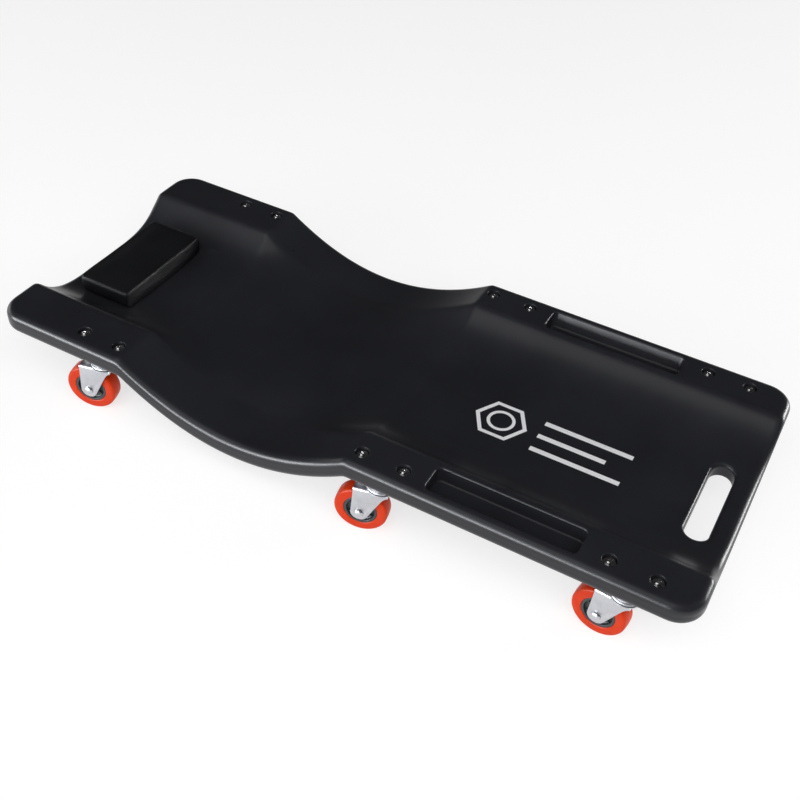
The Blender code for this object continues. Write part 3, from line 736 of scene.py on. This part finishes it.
def nut_mesh(low, high):
    """A hexagon nut with chamfered corners."""
    bm = bmesh.new()
    cylinder(bm, 6, 0.00577, high - low, Matrix.Translation((0, 0, (high + low) / 2)))
    chamfer, face_r, corner_r = 0.0007, 0.0040, 0.0062
    profile = [(0.0, high + 0.001), (face_r, high + 0.001), (corner_r, high - chamfer)]
    profile += [(corner_r, low + chamfer), (0.0046, low - 0.0004), (0.0, low - 0.0004)]
    nut = boolean(from_bmesh(bm, "nut"), lathe("dome", profile, 48), "INTERSECT")
    past = 0.002
    bore = [(0.0, high + past), (BOLT_SHANK_R, high + past), (BOLT_SHANK_R, low - past), (0.0, low - past)]
    return shade(bevelled(boolean(nut, lathe("bore", bore, 32)), 0.00015, 1, 50), ZINC, 35)


def build_fasteners():
    low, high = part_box("deck_bolt_mid_left_a")
    bolt = bolt_mesh(low, high)
    washer_r, lower_washer_r, washer_bore = 0.0077, 0.0060, 0.0032
    washer = washer_mesh(washer_r, washer_bore, SEAT + 0.0001, SEAT + 0.0014)
    plate_under = PLATE_TOP - PLATE_THICKNESS
    lower_washer = washer_mesh(lower_washer_r, washer_bore, plate_under - 0.0009, plate_under - 0.0001)
    nut = nut_mesh(plate_under - 0.0049, plate_under - 0.0010)
    for name in sorted(frame["nodes"]):
        if not name.startswith("deck_bolt_"):
            continue
        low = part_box(name)[0]
        turn = (low.x * 7.0 + low.y * 3.0) % 1.57      # no two bolts stand at the same angle
        for kind, mesh in (("bolt", bolt), ("washer", washer), ("nut_washer", lower_washer), ("nut", nut)):
            piece = link(name.replace("deck_bolt", kind), mesh)
            piece.location = (*centre(name), 0)
            piece.rotation_euler.z = turn
            if kind == "bolt":
                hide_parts(name)
            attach(piece, "deck_frame")

    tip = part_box("headrest_screw_left")[1].z
    head, under, dome, shank = 0.0045, 0.0597, 0.0026, 0.0023
    profile = [(0.0, tip), (0.0012, tip - 0.0010), (shank, tip - 0.0032), (shank, under), (head, under)]
    for t in (math.radians(a) for a in (15, 35, 55, 72)):
        profile.append((head * math.cos(t), under - dome * math.sin(t)))
    profile.append((0.0, under - dome))
    screw = lathe("headrest_screw", profile, 40)
    cross = cross_recess(under - 0.0030, under - 0.0008, (0.0026, 0.00055), (0.0008, 0.0003))
    screw = shade(boolean(screw, cross), BRIGHT_ZINC, 50)
    for side in ("left", "right"):
        piece = link(f"screw_{side}", screw)
        piece.location = (*centre(f"headrest_screw_{side}"), 0)
        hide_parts(f"headrest_screw_{side}")
        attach(piece, "deck_frame")


# Casters: made round the kingpin's axis with the wheel trailing to -X, or round the axle lying along Z -----

def plate_piece():
    """The two-hole flange with its pressed ball track, its edges eased."""
    bottom = PLATE_TOP - PLATE_THICKNESS
    middle_r, ear_r, bolt_hole, pin_hole = 0.018, 0.009, 0.0034, 0.0044
    bm = bmesh.new()
    for x, radius, count in ((0.0, middle_r, 64), (-BOLT_REACH, ear_r, 48), (BOLT_REACH, ear_r, 48)):
        cylinder(bm, count, radius, PLATE_THICKNESS, Matrix.Translation((x, 0, (bottom + PLATE_TOP) / 2)))
    made = bmesh.ops.convex_hull(bm, input=bm.verts)
    spare = made["geom_interior"] + made["geom_unused"]
    bmesh.ops.delete(bm, geom=list({v for v in spare if isinstance(v, bmesh.types.BMVert)}), context="VERTS")
    bmesh.ops.dissolve_limit(bm, angle_limit=math.radians(1), verts=bm.verts, edges=bm.edges)
    plate = from_bmesh(bm, "plate")
    profile = [(0.0, bottom + 0.001), (0.0160, bottom + 0.001), (0.0158, bottom - 0.0006)]
    profile += [(0.0152, 0.0768), (0.0146, 0.0765), (0.0, 0.0765)]
    plate = boolean(plate, lathe("track", profile, 64), "UNION")
    holes = bmesh.new()
    for x, radius in ((-BOLT_REACH, bolt_hole), (BOLT_REACH, bolt_hole), (0.0, pin_hole)):
        cylinder(holes, 40, radius, 0.03, Matrix.Translation((x, 0, 0.078)))
    plate = boolean(plate, from_bmesh(holes, "holes"))
    return shade(bevelled(plate, 0.0004, 2, 40), ZINC, 45)


def race_piece():
    """The ball race's bulging shield, with a shadow gap above the fork."""
    top, bottom = 0.0761, 0.0723
    middle, half = (top + bottom) / 2, (top - bottom) / 2
    profile = [(0.0095, top), (0.0150, top)]
    profile += arc(0.0158, middle, 0.0017, 80, -80, 9)
    profile += [(0.0150, bottom), (0.0095, bottom)]
    return shade(lathe("race", profile, 80, ring=True), ZINC, 40)


def kingpin_piece():
    """The rivet with a head in the plate and a peened end under the fork."""
    head_top = PLATE_TOP - 0.0001
    peen = YOKE_TOP - SHEET - 0.0003
    profile = [(0.0, head_top), (0.0066, head_top), (0.0068, head_top - 0.0003), (0.0068, head_top - 0.0009)]
    profile += [(0.0041, head_top - 0.0010), (0.0041, peen), (0.0068, peen), (0.0068, peen - 0.0008)]
    profile += [(0.0060, peen - 0.0017), (0.0035, peen - 0.0025), (0.0, peen - 0.0026)]
    return shade(lathe("kingpin", profile, 48), ZINC, 40)


def round_shoulders(bm, top, radius, segments):
    """Rounds the edges that run along X at the top."""
    shoulders = [e for e in bm.edges if min(v.co.z for v in e.verts) > top - 0.0001
                 and abs(e.verts[0].co.y - e.verts[1].co.y) < 0.0001]
    bmesh.ops.bevel(bm, geom=shoulders, offset=radius, segments=segments, profile=0.5, affect="EDGES")


def yoke_piece():
    """The stamped fork: legs with a straight rear edge and a flaring front one, under a round crown."""
    axle = Vector((-TRAIL, WHEEL_R))
    tip = [(axle.x + x, z) for x, z in arc(0.0, axle.y, TIP_R, 184, 330, 22)]
    low, bend, high = Vector((0.0030, 0.0575)), Vector((0.0078, 0.0668)), Vector((0.0120, 0.0678))
    flare = []
    for k in range(9):
        t = k / 8
        point = low * (1 - t) ** 2 + bend * (2 * t * (1 - t)) + high * t**2
        flare.append((point.x, point.y))
    side = [(REAR_X, YOKE_TOP), (REAR_X, YOKE_TOP - 0.006)] + tip + flare + [(high.x, YOKE_TOP)]
    bm = bmesh.new()
    rings = [[bm.verts.new((x, y, z)) for x, z in side] for y in (-LEG_Y, LEG_Y)]
    for i in range(len(side)):
        k = (i + 1) % len(side)
        bm.faces.new((rings[0][i], rings[0][k], rings[1][k], rings[1][i]))
    bm.faces.new(rings[0])
    bm.faces.new(list(reversed(rings[1])))
    round_shoulders(bm, YOKE_TOP, 0.0028, 6)
    yoke = from_bmesh(bm, "yoke")

    inner = bmesh.new()
    tall = 0.12
    size = Matrix.Diagonal((tall, 2 * (LEG_Y - SHEET), tall, 1))
    place = Matrix.Translation((0, 0, YOKE_TOP - SHEET - tall / 2))
    bmesh.ops.create_cube(inner, size=1.0, matrix=place @ size)
    round_shoulders(inner, YOKE_TOP - SHEET, 0.0012, 4)
    yoke = boolean(yoke, from_bmesh(inner, "inner"))
    crown_r, eased = 0.0180, 0.0004
    profile = [(0.0, YOKE_TOP), (crown_r - eased, YOKE_TOP), (crown_r, YOKE_TOP - eased)]
    profile += [(crown_r, YOKE_TOP - SHEET), (0.0, YOKE_TOP - SHEET)]
    yoke = boolean(yoke, lathe("crown", profile, 80), "UNION")
    across = Matrix.Rotation(math.pi / 2, 4, "X")
    bores = bmesh.new()
    cylinder(bores, 40, 0.0044, 0.03, Matrix.Translation((0, 0, YOKE_TOP)))
    cylinder(bores, 40, 0.0043, 0.06, Matrix.Translation((-TRAIL, 0, WHEEL_R)) @ across)
    yoke = boolean(yoke, from_bmesh(bores, "bores"))
    return shade(bevelled(yoke, 0.00035, 2, 50), ZINC, 40)


def axle_piece():
    """The axle rivet: a low, broad dome at each end."""
    seat, radius, dome = LEG_Y + 0.0003, 0.0054, 0.0026
    turns = [math.radians(a) for a in (0, 15, 30, 45, 60, 75, 88)]
    head = [(radius * math.sin(t), seat + dome * math.cos(t)) for t in turns]
    head += [(radius, seat), (0.0040, seat)]
    profile = head + [(r, -z) for r, z in reversed(head)]
    return shade(lathe("axle", profile, 56), ZINC, 50)


def hub_piece():
    """The moulded core: rim band, ribbed web and boss."""
    boss, outer, web = LEG_Y - SHEET - 0.0003, 0.0098, 0.0056
    ribs, rib_r, rib_size = 6, 0.0127, (0.0098, 0.0013, 0.0160)
    upper = [(0.0043, boss), (0.0078, boss), (0.0082, boss - 0.0004), (0.0086, web + 0.0012), (0.0098, web)]
    upper += [(0.0155, web), (0.0166, web + 0.0010), (0.0170, outer - 0.0004), (0.0174, outer)]
    upper += [(0.0197, outer), (0.0200, outer - 0.0003)]
    hub = lathe("hub", upper + [(r, -z) for r, z in reversed(upper)], 96, ring=True)
    parts = [hub]
    for k in range(ribs):
        turn = Matrix.Rotation(2 * math.pi * (k + 0.5) / ribs, 4, "Z")
        place = turn @ Matrix.Translation((rib_r, 0, 0)) @ Matrix.Diagonal((*rib_size, 1))
        rib = bmesh.new()
        bmesh.ops.create_cube(rib, size=1.0, matrix=place)
        parts.append(bevelled(from_bmesh(rib, "rib"), 0.0003, 2, 40))
    return shade(join_meshes("hub", parts), HUB, 35)


def tyre_piece():
    """The cast tread: flat flanks, rounded shoulders, a slight crown and a fine parting line."""
    half, shoulder_at, shoulder_r = 0.0105, 0.0284, 0.0038
    upper = [(0.0203, half - 0.0008), (0.0210, half - 0.0002), (0.0218, half), (shoulder_at, half)]
    upper += arc(shoulder_at, half - shoulder_r, shoulder_r, 75, 10, 6)
    upper += [(0.03236, 0.0040), (0.03244, 0.0009), (WHEEL_R, 0.00035)]
    return shade(lathe("tyre", upper + [(r, -z) for r, z in reversed(upper)], 128, ring=True), TYRE, 40)


def build_casters():
    pieces = {
        "caster_plate": plate_piece(), "ball_race": race_piece(), "kingpin": kingpin_piece(),
        "yoke": yoke_piece(), "axle": axle_piece(), "wheel_hub": hub_piece(), "wheel_tyre": tyre_piece(),
    }
    for row in ("head", "mid", "foot"):
        for side in ("left", "right"):
            where = f"{row}_{side}"
            pin = Vector(joints[f"swivel_{where}"]["pos_m"])
            hub = Vector(joints[f"spin_{where}"]["pos_m"])
            heading = math.atan2(pin.y - hub.y, pin.x - hub.x)
            fixed = Matrix.Translation((pin.x, pin.y, 0))
            turned = fixed @ Matrix.Rotation(heading, 4, "Z")
            wheel = Matrix.Translation(hub) @ Matrix.Rotation(heading, 4, "Z")
            wheel = wheel @ Matrix.Rotation(-math.pi / 2, 4, "X")
            places = {
                "caster_plate": (fixed, "deck_frame"), "ball_race": (fixed, "deck_frame"),
                "kingpin": (fixed, "deck_frame"),
                "yoke": (turned, f"swivel_{where}"), "axle": (wheel, f"swivel_{where}"),
                "wheel_hub": (wheel, f"wheel_{where}"), "wheel_tyre": (wheel, f"wheel_{where}"),
            }
            for kind, (place, body) in places.items():
                piece = link(f"{kind}_{where}_look", pieces[kind])
                piece.matrix_world = place
                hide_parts(f"{kind}_{where}")
                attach(piece, body)


# Headrest -----------------------------------------------------------------------------------------------

def pad_block(low, high, inset):
    """A closed block with a flat top and an underside that follows the trough."""
    nx, ny = 22, 40
    xs = np.linspace(low.x + inset, high.x - inset, nx)
    ys = np.linspace(low.y + inset, high.y - inset, ny)
    bm = bmesh.new()
    above, below = {}, {}
    for i, x in enumerate(xs):
        for j, y in enumerate(ys):
            floor = level_at(deck_top, x, y) + 0.0007
            above[i, j] = bm.verts.new((x, y, high.z - inset))
            below[i, j] = bm.verts.new((x, y, floor))
    for i in range(nx - 1):
        for j in range(ny - 1):
            bm.faces.new((above[i, j], above[i + 1, j], above[i + 1, j + 1], above[i, j + 1]))
            bm.faces.new((below[i, j], below[i, j + 1], below[i + 1, j + 1], below[i + 1, j]))
    rim = [(i, 0) for i in range(nx)] + [(nx - 1, j) for j in range(1, ny)]
    rim += [(i, ny - 1) for i in range(nx - 2, -1, -1)] + [(0, j) for j in range(ny - 2, 0, -1)]
    for a, b in zip(rim, rim[1:] + rim[:1]):
        bm.faces.new((above[a], below[a], below[b], above[b]))
    return from_bmesh(bm, "headrest_block")


def inflated(mesh):
    """The block blown up a little by cloth pressure, its movement capped and its underside kept."""
    remeshed = link("headrest_remesh", mesh)
    voxels = remeshed.modifiers.new("voxels", "REMESH")
    voxels.mode = "VOXEL"
    voxels.voxel_size = 0.003
    smooth = remeshed.modifiers.new("smooth", "SMOOTH")
    smooth.factor = 0.5
    smooth.iterations = 1
    start = bake(remeshed)
    before = np.array([v.co[:] for v in start.vertices])
    obj = link("headrest_cloth", start.copy())
    cloth = obj.modifiers.new("cloth", "CLOTH")
    cloth.settings.use_pressure = True
    cloth.settings.uniform_pressure_force = 4.0
    cloth.settings.effector_weights.gravity = 0.0
    cloth.settings.quality = 6
    first, last, smoothings = 1, 20, 12
    cloth.point_cache.frame_start = first
    cloth.point_cache.frame_end = last
    scene = bpy.context.scene
    for step in range(first, last + 1):
        scene.frame_set(step)
    swollen = bake(obj)
    scene.frame_set(first)
    after = np.array([v.co[:] for v in swollen.vertices])
    normals = np.array([v.normal[:] for v in start.vertices])
    outward = np.clip(((after - before) * normals).sum(1), 0.0, PAD_SWELL)
    edges = np.array([e.vertices[:] for e in start.edges])
    for _ in range(smoothings):
        total, count = outward.copy(), np.ones(len(outward))
        for a, b in (edges.T, edges.T[::-1]):
            np.add.at(total, a, outward[b])
            np.add.at(count, a, 1.0)
        outward = total / count
    still, moving = 0.002, 0.010        # heights above the trough
    floor = deck_top(before[:, 0], before[:, 1])
    outward *= np.clip((before[:, 2] - floor - still) / (moving - still), 0.0, 1.0)
    for vert, place in zip(swollen.vertices, before + normals * outward[:, None]):
        vert.co = place
    return swollen


def fitted(mesh, low, high):
    """Stretches the pad so that its sides and its flat top just reach the frame's box."""
    places = np.array([v.co[:] for v in mesh.vertices])
    for axis in (0, 1):
        least, most = places[:, axis].min(), places[:, axis].max()
        places[:, axis] = low[axis] + (places[:, axis] - least) * (high[axis] - low[axis]) / (most - least)
    floor = deck_top(places[:, 0], places[:, 1]) + PAD_GAP
    share = (places[:, 2] - floor) / (places[:, 2].max() - floor)
    level = floor + np.clip(share, 0.0, 1.0) * (high.z - floor)
    for vert, place, z in zip(mesh.vertices, places, level):
        vert.co = (place[0], place[1], z)
    return mesh


def build_headrest():
    low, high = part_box("headrest_pad")
    body = link("headrest_body", fitted(inflated(pad_block(low, high, 0.0012)), low, high))
    finer = body.modifiers.new("finer", "SUBSURF")
    finer.levels = 1
    finer.render_levels = 1
    body_mesh = bake(body)
    tree = BVHTree.FromPolygons([v.co.copy() for v in body_mesh.vertices],
                                [list(p.vertices) for p in body_mesh.polygons])

    def on_cover(x, y, z):
        """The place nearest to this one on the cover, sunk a little."""
        found, normal, _, _ = tree.find_nearest(Vector((x, y, z)))
        return tuple(found - normal * 0.0002)

    inset, corner, spacing = 0.0022, 0.0060, 0.004
    plan = rounded_box(low.x + inset, high.x - inset, low.y + inset, high.y - inset, corner, 7)
    dense = []
    for a, b in zip(plan, plan[1:] + plan[:1]):
        count = max(1, round(math.hypot(b[0] - a[0], b[1] - a[1]) / spacing))
        dense += [(a[0] + (b[0] - a[0]) * k / count, a[1] + (b[1] - a[1]) * k / count) for k in range(count)]
    cord = [on_cover(x, y, high.z - 0.0016) for x, y in dense]
    seams = [shade(tube("headrest_piping", cord, 0.00115), VINYL, 60)]
    for x in (low.x, high.x):
        for y in (low.y, high.y):
            base = level_at(deck_top, x, y) + 0.003
            line = [on_cover(x, y, base + (high.z - 0.004 - base) * k / 8) for k in range(9)]
            seams.append(shade(tube("headrest_seam", line, 0.0007, closed=False), VINYL, 60))

    pad = link("headrest_cover", shade(body_mesh, VINYL, 80))
    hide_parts("headrest_pad")
    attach(pad, "deck_frame")
    trim = link("headrest_trim", shade(join_meshes("headrest_trim", seams), VINYL, 60))
    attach(trim, "deck_frame")
    board = frame["nodes"]["headrest_board"]
    board.data.materials.clear()
    board.data.materials.append(BOARD)


# Studio -------------------------------------------------------------------------------------------------

# name: (place, target, width, height, watts, colour, what it lights)
WHITE, COOL = (1.0, 1.0, 1.0), (0.95, 0.97, 1.0)
LIGHTS = {
    "overhead": ((1.5, -1.7, 2.7), (0.1, 0, 0), 4.2, 3.2, 100.0, WHITE, "diffuse"),
    "fill": ((-1.5, -2.9, 0.9), (0, 0, 0.10), 3.4, 1.4, 55.0, WHITE, "diffuse"),
    "front": ((-1.5, -2.9, 0.26), (0, 0, 0.10), 3.6, 0.48, 160.0, COOL, "gloss"),
    "front_mid": ((-1.5, -2.9, 0.82), (0, 0, 0.10), 3.6, 0.55, 74.0, COOL, "gloss"),
    "front_high": ((-0.8, -2.6, 1.65), (0.1, 0, 0.10), 2.6, 0.45, 10.0, COOL, "gloss"),
    "back_right": ((2.3, 2.2, 0.42), (0.2, 0, 0.10), 1.3, 0.6, 60.0, WHITE, "all"),
    "left": ((-3.0, -0.2, 0.5), (0, 0, 0.05), 1.8, 0.8, 12.0, WHITE, "all"),
    "sky": ((-0.4, -1.6, 2.6), (0.1, 0, 0), 3.0, 1.4, 14.0, WHITE, "all"),
}


def area_light(name, place, target, width, height, watts, colour, lights):
    """A soft box. A diffuse one isn't seen in reflections, and a gloss one is seen only there."""
    data = bpy.data.lights.new(name, "AREA")
    data.shape = "RECTANGLE"
    data.size = width
    data.size_y = height
    data.energy = watts
    data.color = colour
    light = link(name, data)
    light.location = place
    light.rotation_euler = (Vector(target) - Vector(place)).to_track_quat("-Z", "Y").to_euler()
    light.visible_glossy = lights != "diffuse"
    light.visible_diffuse = lights != "gloss"


def build_studio():
    floor_half, wall_r, wall_height = 14.0, 13.9, 9.0
    bm = bmesh.new()
    bmesh.ops.create_grid(bm, x_segments=1, y_segments=1, size=floor_half)
    floor = link("studio_floor", shade(from_bmesh(bm, "studio_floor"), floor_material()))
    wall = lathe("studio_backdrop", [(wall_r, wall_height), (wall_r, 0.0)], 64)
    backdrop = link("studio_backdrop", shade(wall, backdrop_material()))
    backdrop.visible_diffuse = False
    backdrop.visible_glossy = False
    backdrop.visible_shadow = False
    for name, settings in LIGHTS.items():
        area_light(name, *settings)

    world = bpy.data.worlds.new("studio")
    world.use_nodes = True
    background = world.node_tree.nodes["Background"]
    background.inputs["Color"].default_value = (1.0, 1.0, 1.0, 1.0)
    background.inputs["Strength"].default_value = 0.03
    bpy.context.scene.world = world
    bpy.context.scene.view_settings.view_transform = "Standard"

    data = bpy.data.cameras.new("camera")
    data.sensor_width = 36.0
    data.lens = 49.13
    camera = link("camera", data)
    camera.location = (0.4690, -0.9212, 0.9738)
    camera.rotation_euler = Euler([math.radians(a) for a in (47.4526, -3.0019, 28.8431)])
    bpy.context.scene.camera = camera


build_deck()
build_print()
build_fasteners()
build_casters()
build_headrest()
build_studio()

bpy.context.view_layer.update()
